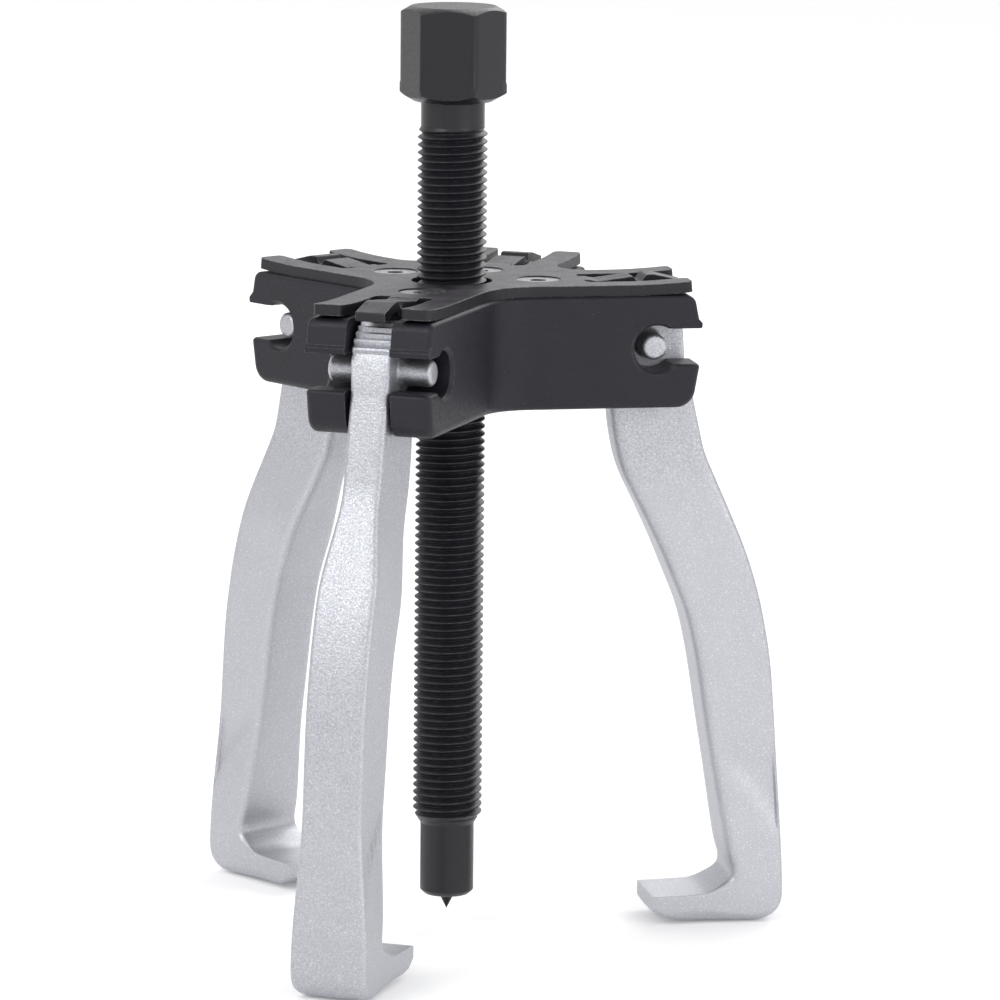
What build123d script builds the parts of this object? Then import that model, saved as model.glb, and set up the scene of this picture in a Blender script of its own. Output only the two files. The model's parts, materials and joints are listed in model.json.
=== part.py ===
"""Gear puller with a four-arm head, three swinging hook legs and a forcing screw.

Millimetres, +Z up along the screw towards its hexagon.  The origin is on the screw's
axis, where the plain nose of the screw ends.  The front leg hangs on the -Y arm.
"""
from build123d import *
from math import asin, cos, degrees, radians, sin, sqrt, tan
import os

# ---------------------------------------------------------------- forcing screw
THREAD_DIAMETER = 18.0
THREAD_PITCH = 2.0
THREAD_DEPTH = 1.15
THREAD_CREST = 0.3          # flat left on each crest
THREAD_LENGTH = 179.0
NOSE_DIAMETER = 14.0
NOSE_CHAMFER = 1.0
NOSE_LENGTH = 18.0          # plain nose, from the origin up to the thread's run-out
RUNOUT_LENGTH = 3.0
NECK_DIAMETER = 16.4
NECK_LENGTH = 7.5
HEX_ACROSS_FLATS = 24.0
HEX_LENGTH = 24.3
HEX_TURN = 13.0             # degrees, one corner of the hexagon from +X
HEX_FOOT_STEP = 2.0         # flat ring under the hexagon, outside the neck
HEX_COLLAR_LENGTH = 5.0     # lower end of the hexagon, where the corners stay full
HEX_CORNER_TRIM = 0.35      # the corners above the collar are turned down this much
HEX_TOP_RADIUS = 11.0       # where the top chamfer starts
HEX_CHAMFER_ANGLE = 30.0

# ---------------------------------------------------------------- centre point
POINT_DIAMETER = 4.4
POINT_SHANK_LENGTH = 12.0
POINT_CONE_LENGTH = 4.3
POINT_CLEARANCE = 0.05      # radial and at the end: the point stays still as the screw turns

# ---------------------------------------------------------------- head forging
HEAD_TOP = 158.2            # height above the origin
HEAD_HEIGHT = 29.2
ARM_ANGLES = {"front": 0.0, "right": 120.0, "back": 180.0, "left": 240.0}
LEG_ARMS = ("front", "right", "left")
WIDE_GAPS = (60.0, 300.0)   # middle of the gap between arms 120 degrees apart
NARROW_GAPS = (150.0, 210.0)  # middle of the gap between arms 60 degrees apart
ARM_HALF_WIDTH = 16.6
ARM_REACH = 62.8            # screw axis to the end of an arm
WIDE_CROTCH_RADIUS = 14.0
NARROW_CROTCH_RADIUS = 8.0
SLOT_WIDTH = 12.0
SLOT_ROOT = 34.5            # screw axis to the inner end of a leg slot
SLOT_ROOT_RADIUS = 3.0
SEAT_REACH = 51.0           # screw axis to the trunnion axis
SEAT_DROP = 13.7            # head top down to the trunnion axis
SEAT_RADIUS = 6.0
SEAT_CHAMFER = 0.8          # at the outer rim of the seat, on both sides of an arm
MOUTH_ABOVE = 5.2           # mouth of the seat, above and below the trunnion axis
MOUTH_BELOW = 4.1
LIP_HEIGHT = 1.4            # full-reach lip above the mouth
LIP_STEP = 0.7              # the end face falls back this much over the lip
LIP_RADIUS = 0.5            # corners of the lip
LOWER_SET_BACK = 0.2        # lower jaw, short of the lip
ARM_TOP_SET_BACK = 2.0      # the upper end face leans in this much at the top
ARM_FOOT_SET_BACK = 2.2     # the lower end face leans in this much at the foot
ARM_TOP_RADIUS = 2.6
ARM_FOOT_RADIUS = 5.0
JAW_RADIUS = 1.0            # upper corner of the lower jaw
HEAD_TOP_EDGE_RADIUS = 1.0
HEAD_FOOT_EDGE_RADIUS = 1.8
BORE_CLEARANCE = 0.10       # radial, screw crests to the plain bore that stands for the nut thread
BORE_COUNTERSINK = 1.2

# ---------------------------------------------------------------- cover plate
PLATE_THICKNESS = 2.8
PLATE_INSET = 1.2           # plate's arm sides, in from the arm sides of the head
PLATE_CROTCH_RADIUS = 18.0
PLATE_HOLE_GAP = 1.5        # between the plate and the thread
PRONG_GAP = 15.6            # between the two prongs of an arm
PRONG_REACH = 60.3
PRONG_LIFT = 0.8            # the prongs curl up this much at their ends
PRONG_CORNER_RADIUS = 1.6
PRONG_FLAT_SPARE = 0.5      # the curl starts this far outside the middle
FINGER_WIDTH = 7.8
FINGER_THICKNESS = 2.4
FINGER_REACH = 60.7
FINGER_TIP_DROP = 0.75      # top of the tip, below the plate's top
FINGER_CREST_REACH = 52.9
FINGER_CREST_RISE = 1.15
FINGER_ROOT_DIP = 0.4
FINGER_RAMP_RISE = 0.7
FINGER_BUMP_REACH = 48.8    # deepest place of the bump pressed down onto the teeth
FINGER_BUMP_HALF = 1.7      # half the bump's length at its top
FINGER_BEND_RADIUS = 1.6
FINGER_CLEARANCE = 0.2      # detent bump to the crests of the leg's teeth
CHANNEL_ROOT = 34.0

# ---------------------------------------------------------------- cover screws
COVER_SCREW_REACH = 22.7
COVER_SCREW_DIAMETER = 6.0
COVER_SCREW_LENGTH = 16.0
COVER_SCREW_RECESS = 0.35
COVER_SCREW_SOCKET = 4.0
COVER_SCREW_SOCKET_DEPTH = 2.2
COUNTERSINK_DIAMETER = 12.0
SCREW_HOLE_CLEARANCE = 0.05  # radial, all round the screws
SCREW_HOLE_SPARE = 2.0      # hole deeper than the screw
COVER_SCREW_TIP_CHAMFER = 0.6

# ---------------------------------------------------------------- hook legs
TRUNNION_DIAMETER = 6.8
TRUNNION_END_GAP = 2.8      # trunnion end short of the arm's side face
TRUNNION_END_RADIUS = 0.8
LEG_HEAD_GAP = 0.9          # leg head to each wall of the slot
LEG_HEAD_RADIUS = 9.55      # rounded, toothed head
LEG_HEAD_FLAT = 0.1         # half of the flat left on top between the roundings
LEG_HEAD_RISE = 3.2         # centre of the rounded head above the trunnion axis
LEG_HEAD_SET_BACK = 0.3     # the same centre, in from the trunnion axis
LEG_BLADE_WIDTH = 15.8
LEG_FOOT_WIDTH = 20.4
BLADE_TOP_DROP = 56.5       # the neck has widened to the blade this far below the trunnion axis
NECK_FOOT_DROP = 33.0       # the neck keeps its width down to here
LEG_FACE_DROP = 3.0         # the outer face of the head is upright down to here
LEG_FACE_RADIUS = 15.0
TOOTH_COUNT = 7
TOOTH_STEP = 13.6           # degrees
FIRST_TOOTH = 20.0          # degrees above the horizontal
TOOTH_DEPTH = 0.85
TOOTH_MOUTH_SHARE = 0.56    # of the step, each side of a groove
LEG_LENGTH = 154.4          # trunnion axis down to the sole
TOE_THICKNESS = 7.9         # sole to the top of the toe
TOE_TIP_OUT = 2.2           # tip of the toe, out from the trunnion axis
TOE_FRONT_HEIGHT = 4.2
TOE_SOLE_RISE = 2.1         # the sole lifts this much towards the tip
TOE_NOSE_LENGTH = 2.8       # slanted nose between the sole and the front face
SOLE_FLAT_OUT = 24.0        # the sole is flat from the heel to here, out from the trunnion axis
SOLE_BEND_RADIUS = 40.0
TOE_CORNER_RADIUS = 7.0
TOE_TIP_RADIUS = 0.5
HEEL_OUT = 37.9             # back of the heel, out from the trunnion axis
HEEL_RADIUS = 7.5
FOOT_CORNER_RADIUS = 4.0
FOOT_FULL_HEIGHT = 15.9     # the foot keeps its full width up to here above the sole
FOOT_FLARE_HEIGHT = 35.9    # and has narrowed to the blade here
SIDE_BEND_RADIUS = 30.0     # of the bends in the leg's front view
# Bends of the blade: out from the trunnion axis, down from it, and radius.
OUTER_BENDS = [(15.6, 29.0, 30.0), (27.0, 56.5, 60.0), (31.9, 74.0, 40.0), (36.0, 113.5, 120.0)]
INNER_BENDS = [(24.4, 146.5, 7.0), (11.7, 73.5, 30.0), (1.6, 49.0, 60.0), (-9.4, 28.0, 14.0)]

# ---------------------------------------------------------------- derived places
SEAT_HEIGHT = HEAD_TOP - SEAT_DROP
HEAD_BOTTOM = HEAD_TOP - HEAD_HEIGHT
PLATE_TOP = HEAD_TOP + PLATE_THICKNESS
THREAD_START = NOSE_LENGTH + RUNOUT_LENGTH
THREAD_END = THREAD_START + THREAD_LENGTH
HEX_BOTTOM = THREAD_END + NECK_LENGTH
HEX_TOP = HEX_BOTTOM + HEX_LENGTH
PLATE_HALF_WIDTH = ARM_HALF_WIDTH - PLATE_INSET
TRUNNION_HALF_LENGTH = ARM_HALF_WIDTH - TRUNNION_END_GAP
LEG_HEAD_WIDTH = SLOT_WIDTH - 2 * LEG_HEAD_GAP
LEG_HEAD_REACH = SEAT_REACH - LEG_HEAD_SET_BACK
LEG_HEAD_HEIGHT = SEAT_HEIGHT + LEG_HEAD_RISE
TOOTH_TOP = LEG_HEAD_HEIGHT + LEG_HEAD_RADIUS
FOOT_BOTTOM = SEAT_HEIGHT - LEG_LENGTH
TOE_TOP = FOOT_BOTTOM + TOE_THICKNESS
CUT_SPARE = 5.0             # cutting tools reach this far past what they cut
SIDE_VIEW = Plane(origin=(0, 0, 0), x_dir=(0, -1, 0), z_dir=(-1, 0, 0))
FROM_BASE = (Align.CENTER, Align.CENTER, Align.MIN)
TOLERANCE = 0.02            # for picking edges by their place
ARM_END_ZONE = 12.0         # edges this close to an arm's end belong to its end


def on_arm(shape, arm):
    """Turn a shape modelled along -Y onto its arm of the head."""
    return Rot(0, 0, ARM_ANGLES[arm]) * shape


def across_arm(face, width):
    """Extrude a side-view face (reach, height) evenly across the -Y arm."""
    return extrude(SIDE_VIEW * face, amount=width / 2, both=True)


def across_pin(reach, height, radius, length):
    """A cylinder across the -Y arm."""
    return Pos(0, -reach, height) * Rot(0, 90, 0) * Cylinder(radius, length)


def rounded_outline(corners):
    """A closed face from (x, y, corner radius) triples; radius 0 keeps a corner sharp."""
    face = Polygon(*[(x, y) for x, y, _ in corners], align=None)
    for x, y, radius in corners:
        if radius > 0:
            corner = face.vertices().sort_by_distance(Vector(x, y, 0))[0]
            face = fillet(corner, radius)
    return face


def hub_radius(half_width):
    """Radius of the circle through the outer ends of the narrow crotches."""
    reach = (half_width + NARROW_CROTCH_RADIUS) / tan(radians(30))
    return sqrt(reach ** 2 + half_width ** 2)


def hub_outline(half_width, wide_crotch_radius):
    """Plan of the middle of the head or plate, with the rounded crotches between arms."""
    star = Sketch()
    for angle in ARM_ANGLES.values():
        star += Rot(0, 0, angle) * Pos(0, -ARM_REACH / 2) * Rectangle(2 * half_width, ARM_REACH)
    for gaps, half_gap, radius in (
        (WIDE_GAPS, 60.0, wide_crotch_radius),
        (NARROW_GAPS, 30.0, NARROW_CROTCH_RADIUS),
    ):
        for gap in gaps:
            distance = half_width / sin(radians(half_gap))
            corner = Vector(distance * sin(radians(gap)), -distance * cos(radians(gap)), 0)
            star = fillet(star.vertices().sort_by_distance(corner)[0], radius)
    return star & Circle(hub_radius(half_width))


def arm_end_profile():
    """Side view of one arm of the head, before the seat and its mouth are cut."""
    lip_top = SEAT_HEIGHT + MOUTH_ABOVE + LIP_HEIGHT
    lower = ARM_REACH - LOWER_SET_BACK
    return rounded_outline(
        [
            (0, HEAD_BOTTOM, 0),
            (ARM_REACH - ARM_FOOT_SET_BACK, HEAD_BOTTOM, ARM_FOOT_RADIUS),
            (lower, SEAT_HEIGHT - MOUTH_BELOW, 0),
            (lower, SEAT_HEIGHT, 0),
            (ARM_REACH, SEAT_HEIGHT, 0),
            (ARM_REACH, lip_top, 0),
            (ARM_REACH - LIP_STEP, lip_top + LIP_STEP, 0),
            (ARM_REACH - ARM_TOP_SET_BACK, HEAD_TOP, ARM_TOP_RADIUS),
            (0, HEAD_TOP, 0),
        ]
    )


def leg_slot(width, root, reach, root_radius):
    """Plan of a slot that runs out of the end of the -Y arm."""
    length = reach - root
    plan = Pos(0, -root - length / 2) * Rectangle(width, length)
    return fillet(plan.vertices().group_by(Axis.Y)[-1], root_radius)


def make_head():
    plan = hub_outline(ARM_HALF_WIDTH, WIDE_CROTCH_RADIUS)
    head = Pos(0, 0, HEAD_BOTTOM) * extrude(plan, amount=HEAD_HEIGHT)
    for arm in ARM_ANGLES:
        head += on_arm(across_arm(arm_end_profile(), 2 * ARM_HALF_WIDTH), arm)
    for height, radius in ((HEAD_BOTTOM, HEAD_FOOT_EDGE_RADIUS), (HEAD_TOP, HEAD_TOP_EDGE_RADIUS)):
        rim = head.edges().filter_by_position(Axis.Z, height - TOLERANCE, height + TOLERANCE)
        head = fillet(rim.filter_by(outer_edge), radius)
    slot = Pos(0, 0, HEAD_BOTTOM - CUT_SPARE) * extrude(
        leg_slot(SLOT_WIDTH, SLOT_ROOT, ARM_REACH + CUT_SPARE, SLOT_ROOT_RADIUS),
        amount=HEAD_HEIGHT + 2 * CUT_SPARE,
    )
    seat = across_pin(SEAT_REACH, SEAT_HEIGHT, SEAT_RADIUS, 3 * ARM_HALF_WIDTH)
    for side in (-1, 1):
        rim = Cone(SEAT_RADIUS + SEAT_CHAMFER, SEAT_RADIUS, SEAT_CHAMFER, align=FROM_BASE)
        seat += Pos(side * ARM_HALF_WIDTH, -SEAT_REACH, SEAT_HEIGHT) * Rot(0, -90 * side, 0) * rim
    mouth = across_arm(
        Pos(SEAT_REACH, SEAT_HEIGHT - MOUTH_BELOW)
        * Rectangle(ARM_REACH, MOUTH_ABOVE + MOUTH_BELOW, align=(Align.MIN, Align.MIN)),
        3 * ARM_HALF_WIDTH,
    )
    hole = screw_hole()
    for arm in ARM_ANGLES:
        for cut in (slot, seat, mouth, hole):
            head -= on_arm(cut, arm)
    head = fillet(head.edges().filter_by(jaw_corner), JAW_RADIUS)
    head = fillet(head.edges().filter_by(lip_corner), LIP_RADIUS)
    return head - nut_bore()


def across_arm_end(edge, reach, height):
    """True for an edge across the end of any arm, at this reach and height."""
    middle = edge @ 0.5
    level = abs((edge @ 1).Z - (edge @ 0).Z) < TOLERANCE
    for angle in ARM_ANGLES.values():
        out = Vector(sin(radians(angle)), -cos(radians(angle)), 0)
        ends = [abs((edge @ end).dot(out) - reach) < TOLERANCE for end in (0, 1)]
        if level and all(ends) and abs(middle.Z - height) < TOLERANCE:
            return True
    return False


def jaw_corner(edge):
    return across_arm_end(edge, ARM_REACH - LOWER_SET_BACK, SEAT_HEIGHT - MOUTH_BELOW)


def lip_corner(edge):
    return across_arm_end(edge, ARM_REACH, SEAT_HEIGHT + MOUTH_ABOVE)


def outer_edge(edge):
    """True for an edge of the outline's side, not one across an arm's end."""
    middle = edge @ 0.5
    for angle in ARM_ANGLES.values():
        reach = middle.X * sin(radians(angle)) - middle.Y * cos(radians(angle))
        side = middle.X * cos(radians(angle)) + middle.Y * sin(radians(angle))
        if reach > ARM_REACH - ARM_END_ZONE and abs(side) < ARM_HALF_WIDTH - TOLERANCE:
            return False
    return True


def nut_bore():
    """The screw's way through the head, countersunk at both faces."""
    radius = THREAD_DIAMETER / 2 + BORE_CLEARANCE
    bore = Pos(0, 0, HEAD_BOTTOM - CUT_SPARE) * Cylinder(
        radius, HEAD_HEIGHT + 2 * CUT_SPARE, align=FROM_BASE
    )
    sink = Cone(radius + BORE_COUNTERSINK, radius, BORE_COUNTERSINK, align=FROM_BASE)
    bore += Pos(0, 0, HEAD_BOTTOM) * sink
    bore += Pos(0, 0, HEAD_TOP) * Rot(180, 0, 0) * sink
    return bore


def screw_radii(offset):
    """Radii of a cover screw's head and shank, both grown by offset."""
    rim = COUNTERSINK_DIAMETER / 2 - SCREW_HOLE_CLEARANCE + offset
    shank = COVER_SCREW_DIAMETER / 2 + offset
    return rim, shank


def screw_hole():
    """The hole for a cover screw on the -Y arm, through the plate and into the head."""
    rim, shank = screw_radii(SCREW_HOLE_CLEARANCE)
    depth = COVER_SCREW_LENGTH + COVER_SCREW_RECESS + SCREW_HOLE_SPARE
    outline = Polygon(
        (0, 1), (rim + 1, 1), (shank, shank - rim), (shank, -depth), (0, -depth), align=None
    )
    return Pos(0, -COVER_SCREW_REACH, PLATE_TOP) * revolve(Plane.XZ * outline, Axis.Z)


def make_cover_screw():
    rim, shank = screw_radii(0)
    top = -COVER_SCREW_RECESS
    end = top - COVER_SCREW_LENGTH
    outline = Polygon(
        (0, top),
        (rim + top, top),
        (shank, shank - rim),
        (shank, end + COVER_SCREW_TIP_CHAMFER),
        (shank - COVER_SCREW_TIP_CHAMFER, end),
        (0, end),
        align=None,
    )
    screw = revolve(Plane.XZ * outline, Axis.Z)
    socket = RegularPolygon(COVER_SCREW_SOCKET / 2, 6, major_radius=False)
    screw -= Pos(0, 0, top) * extrude(socket, amount=-COVER_SCREW_SOCKET_DEPTH)
    return Pos(0, -COVER_SCREW_REACH, PLATE_TOP) * screw


def prong_profile():
    """Side view of a pair of prongs: flat, then curling up on an arc."""
    start = hub_radius(PLATE_HALF_WIDTH) + PRONG_FLAT_SPARE
    run = PRONG_REACH - start
    curl_radius = (run ** 2 + PRONG_LIFT ** 2) / (2 * PRONG_LIFT)
    turn = degrees(asin(run / curl_radius))
    centre = (start, curl_radius)
    top = CenterArc(centre, curl_radius, -90, turn)
    bottom = CenterArc(centre, curl_radius + PLATE_THICKNESS, -90, turn)
    outline = [
        Line((0, 0), top @ 0),
        top,
        Line(top @ 1, bottom @ 1),
        bottom,
        Line(bottom @ 0, (0, -PLATE_THICKNESS)),
        Line((0, -PLATE_THICKNESS), (0, 0)),
    ]
    return Pos(0, PLATE_TOP) * make_face(outline)


def make_prongs(gap):
    """The two prongs of the -Y arm, with rounded corners at their ends."""
    pair = across_arm(prong_profile(), 2 * PLATE_HALF_WIDTH) - gap
    corners = pair.edges().filter_by(prong_corner)
    return fillet(corners, PRONG_CORNER_RADIUS)


def prong_corner(edge):
    """True for the four upright edges at the ends of the prongs."""
    upright = abs((edge @ 1 - edge @ 0).X) < TOLERANCE
    return upright and -(edge @ 0.5).Y > PRONG_REACH - PLATE_THICKNESS


def finger_profile():
    """Side view of a spring finger, with the pressed bump that rides on the leg's teeth."""
    thick = FINGER_THICKNESS
    bend = FINGER_BEND_RADIUS
    bump = TOOTH_TOP + FINGER_CLEARANCE - PLATE_TOP
    root = CHANNEL_ROOT - 1
    dip = root + 2 * thick
    before = FINGER_BUMP_REACH - FINGER_BUMP_HALF
    after = FINGER_BUMP_REACH + FINGER_BUMP_HALF
    crest = FINGER_CREST_RISE
    slope = (crest + FINGER_TIP_DROP) / (FINGER_REACH - FINGER_CREST_REACH)
    return Pos(0, PLATE_TOP) * rounded_outline(
        [
            (root, 0, 0),
            (root + thick, 0, bend),
            (dip, -FINGER_ROOT_DIP, bend),
            (before, FINGER_RAMP_RISE, bend / 2),
            (FINGER_BUMP_REACH, bump + thick, bend / 2),
            (after, crest, bend / 2),
            (FINGER_CREST_REACH, crest, 2 * bend),
            (FINGER_REACH, -FINGER_TIP_DROP, bend / 4),
            (FINGER_REACH - thick * slope, -FINGER_TIP_DROP - thick, bend / 4),
            (FINGER_CREST_REACH, crest - thick, bend),
            (after, crest - thick, bend),
            (FINGER_BUMP_REACH, bump, bend),
            (before - thick / 2, FINGER_RAMP_RISE - thick, bend),
            (dip, -FINGER_ROOT_DIP - thick, bend),
            (root + thick, -thick, bend),
            (root, -thick, 0),
        ]
    )


def make_cover_plate():
    channel = (PRONG_GAP - FINGER_WIDTH) / 2
    gap = leg_slot(PRONG_GAP, CHANNEL_ROOT, PRONG_REACH + CUT_SPARE, channel / 2)
    gap = Pos(0, 0, HEAD_TOP - CUT_SPARE) * extrude(gap, amount=PLATE_THICKNESS + 2 * CUT_SPARE)
    keep = Pos(0, -CHANNEL_ROOT, HEAD_TOP + PLATE_THICKNESS / 2) * Box(
        FINGER_WIDTH, channel, PLATE_THICKNESS
    )
    finger = across_arm(finger_profile(), FINGER_WIDTH)
    prongs = make_prongs(gap)
    plan = hub_outline(PLATE_HALF_WIDTH, PLATE_CROTCH_RADIUS)
    plate = Pos(0, 0, HEAD_TOP) * extrude(plan, amount=PLATE_THICKNESS)
    for arm in ARM_ANGLES:
        plate += on_arm(prongs, arm)
    plate -= Pos(0, 0, HEAD_TOP) * Cylinder(THREAD_DIAMETER / 2 + PLATE_HOLE_GAP, 4 * PLATE_THICKNESS)
    for arm in ARM_ANGLES:
        plate -= on_arm(gap - keep, arm)
        plate += on_arm(finger, arm)
        plate -= on_arm(screw_hole(), arm)
    return plate


def tooth_groove(angle):
    """Side view of the V between two teeth of a leg's head."""
    bottom = LEG_HEAD_RADIUS - TOOTH_DEPTH
    mouth = LEG_HEAD_RADIUS + TOOTH_DEPTH / 2
    spread = TOOTH_STEP * TOOTH_MOUTH_SHARE
    points = [(bottom, angle), (mouth, angle - spread), (mouth, angle + spread)]
    return Pos(LEG_HEAD_REACH, LEG_HEAD_HEIGHT) * Polygon(
        *[(r * cos(radians(a)), r * sin(radians(a))) for r, a in points], align=None
    )


def leg_side_profile():
    """Side view of a leg: rounded head, cranked blade, heel and toe."""
    back = LEG_HEAD_REACH - LEG_HEAD_RADIUS
    front = LEG_HEAD_REACH + LEG_HEAD_RADIUS
    head_round = LEG_HEAD_RADIUS - LEG_HEAD_FLAT
    tip = SEAT_REACH + TOE_TIP_OUT
    outer = [(SEAT_REACH + out, SEAT_HEIGHT - drop, radius) for out, drop, radius in OUTER_BENDS]
    inner = [(SEAT_REACH + out, SEAT_HEIGHT - drop, radius) for out, drop, radius in INNER_BENDS]
    return rounded_outline(
        [
            (back, TOOTH_TOP, head_round),
            (front, TOOTH_TOP, head_round),
            (front, SEAT_HEIGHT - LEG_FACE_DROP, LEG_FACE_RADIUS),
        ]
        + outer
        + [
            (SEAT_REACH + HEEL_OUT, FOOT_BOTTOM, HEEL_RADIUS),
            (SEAT_REACH + SOLE_FLAT_OUT, FOOT_BOTTOM, SOLE_BEND_RADIUS),
            (tip + TOE_NOSE_LENGTH, FOOT_BOTTOM + TOE_SOLE_RISE, TOE_TIP_RADIUS),
            (tip, TOE_TOP - TOE_FRONT_HEIGHT, TOE_TIP_RADIUS),
            (tip, TOE_TOP, TOE_TIP_RADIUS),
        ]
        + inner
    )


def leg_front_profile():
    """Front view of a leg: narrow neck, wider blade, flared foot."""
    neck = LEG_HEAD_WIDTH / 2
    blade = LEG_BLADE_WIDTH / 2
    foot = LEG_FOOT_WIDTH / 2
    half = [
        (foot, FOOT_BOTTOM, FOOT_CORNER_RADIUS),
        (foot, FOOT_BOTTOM + FOOT_FULL_HEIGHT, SIDE_BEND_RADIUS),
        (blade, FOOT_BOTTOM + FOOT_FLARE_HEIGHT, SIDE_BEND_RADIUS),
        (blade, SEAT_HEIGHT - BLADE_TOP_DROP, SIDE_BEND_RADIUS),
        (neck, SEAT_HEIGHT - NECK_FOOT_DROP, SIDE_BEND_RADIUS),
        (neck, TOOTH_TOP + CUT_SPARE, 0),
    ]
    mirrored = [(-x, y, r) for x, y, r in reversed(half)]
    return Plane.XZ * rounded_outline(half + mirrored)


def make_leg():
    side = across_arm(leg_side_profile(), LEG_FOOT_WIDTH + CUT_SPARE)
    front = extrude(leg_front_profile(), amount=SEAT_REACH + HEEL_OUT + CUT_SPARE)
    leg = side & front
    for index in range(TOOTH_COUNT + 1):
        groove = tooth_groove(FIRST_TOOTH + (index - 0.5) * TOOTH_STEP)
        leg -= across_arm(groove, LEG_FOOT_WIDTH)
    trunnion = across_pin(SEAT_REACH, SEAT_HEIGHT, TRUNNION_DIAMETER / 2, 2 * TRUNNION_HALF_LENGTH)
    trunnion = fillet(trunnion.edges().filter_by(GeomType.CIRCLE), TRUNNION_END_RADIUS)
    return leg + trunnion


def thread_outline():
    """Half section of the threaded rod, its thread drawn as rings of the same pitch."""
    crest = THREAD_DIAMETER / 2
    root = crest - THREAD_DEPTH
    points = []
    for turn in range(int(THREAD_LENGTH / THREAD_PITCH)):
        z = THREAD_START + turn * THREAD_PITCH
        points += [(crest, z), (crest, z + THREAD_CREST), (root, z + (THREAD_PITCH + THREAD_CREST) / 2)]
    return points + [(crest, THREAD_END)]


def make_spindle():
    nose = NOSE_DIAMETER / 2
    neck = NECK_DIAMETER / 2
    outline = [(0, -NOSE_CHAMFER), (nose - NOSE_CHAMFER, -NOSE_CHAMFER), (nose, 0), (nose, NOSE_LENGTH)]
    outline += thread_outline()
    outline += [(neck, THREAD_END + THREAD_DEPTH), (neck, HEX_BOTTOM), (0, HEX_BOTTOM)]
    rod = revolve(Plane.XZ * Polygon(*outline, align=None), Axis.Z)
    corner = HEX_ACROSS_FLATS / 2 / cos(radians(30))
    fall = tan(radians(HEX_CHAMFER_ANGLE))
    step = neck + HEX_FOOT_STEP
    trim = corner - HEX_CORNER_TRIM
    collar_top = HEX_BOTTOM + HEX_COLLAR_LENGTH
    turned = Polygon(
        (0, HEX_BOTTOM),
        (step, HEX_BOTTOM),
        (corner + CUT_SPARE, HEX_BOTTOM + (corner + CUT_SPARE - step) * fall),
        (corner + CUT_SPARE, collar_top),
        (trim, collar_top),
        (trim, HEX_TOP - (trim - HEX_TOP_RADIUS) * fall),
        (HEX_TOP_RADIUS, HEX_TOP),
        (0, HEX_TOP),
        align=None,
    )
    flats = Rot(0, 0, HEX_TURN) * RegularPolygon(HEX_ACROSS_FLATS / 2, 6, major_radius=False)
    hexagon = Pos(0, 0, HEX_BOTTOM) * extrude(flats, amount=HEX_LENGTH)
    hexagon &= revolve(Plane.XZ * turned, Axis.Z)
    bore = POINT_DIAMETER / 2 + POINT_CLEARANCE
    socket_depth = POINT_SHANK_LENGTH + POINT_CLEARANCE
    socket = Pos(0, 0, -NOSE_CHAMFER) * Cylinder(bore, socket_depth, align=FROM_BASE)
    return rod + hexagon - socket


def make_centre_point():
    radius = POINT_DIAMETER / 2
    outline = Polygon(
        (0, -NOSE_CHAMFER - POINT_CONE_LENGTH),
        (radius, -NOSE_CHAMFER),
        (radius, -NOSE_CHAMFER + POINT_SHANK_LENGTH),
        (0, -NOSE_CHAMFER + POINT_SHANK_LENGTH),
        align=None,
    )
    return revolve(Plane.XZ * outline, Axis.Z)


def main():
    os.makedirs("parts", exist_ok=True)
    pieces = {
        "head_body": make_head(),
        "cover_plate": make_cover_plate(),
        "spindle": make_spindle(),
        "centre_point": make_centre_point(),
    }
    screw = make_cover_screw()
    for arm in ARM_ANGLES:
        pieces["cover_screw_" + arm] = on_arm(screw, arm)
    leg = make_leg()
    for arm in LEG_ARMS:
        pieces["leg_" + arm] = on_arm(leg, arm)
    for name, shape in pieces.items():
        export_step(shape, "parts/" + name + ".step")
        print(name, "volume", round(shape.volume, 1), "mm3")


main()
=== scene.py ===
# %% [markdown]
# # A gear puller, finished for close viewing
#
# The tool pulls a gear or a bearing off its shaft.  Hooked legs reach behind the gear, and a
# forcing screw pushes on the end of the shaft.  The head and its cover plate come from the CAD
# frame and only get their finish here.  The legs and the screw are modelled again, because a
# forged blade, a toothed leg head and a real helical thread carry the looks of this tool.
#
# Sizes in this script are millimetres, measured from the lower end of the screw's plain nose.
# Each finished mesh is scaled to metres once, at the end of its own making.

import json
from math import atan2, cos, pi, radians, sin, tan

import bmesh
import bpy
from mathutils import Matrix, Vector


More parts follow.
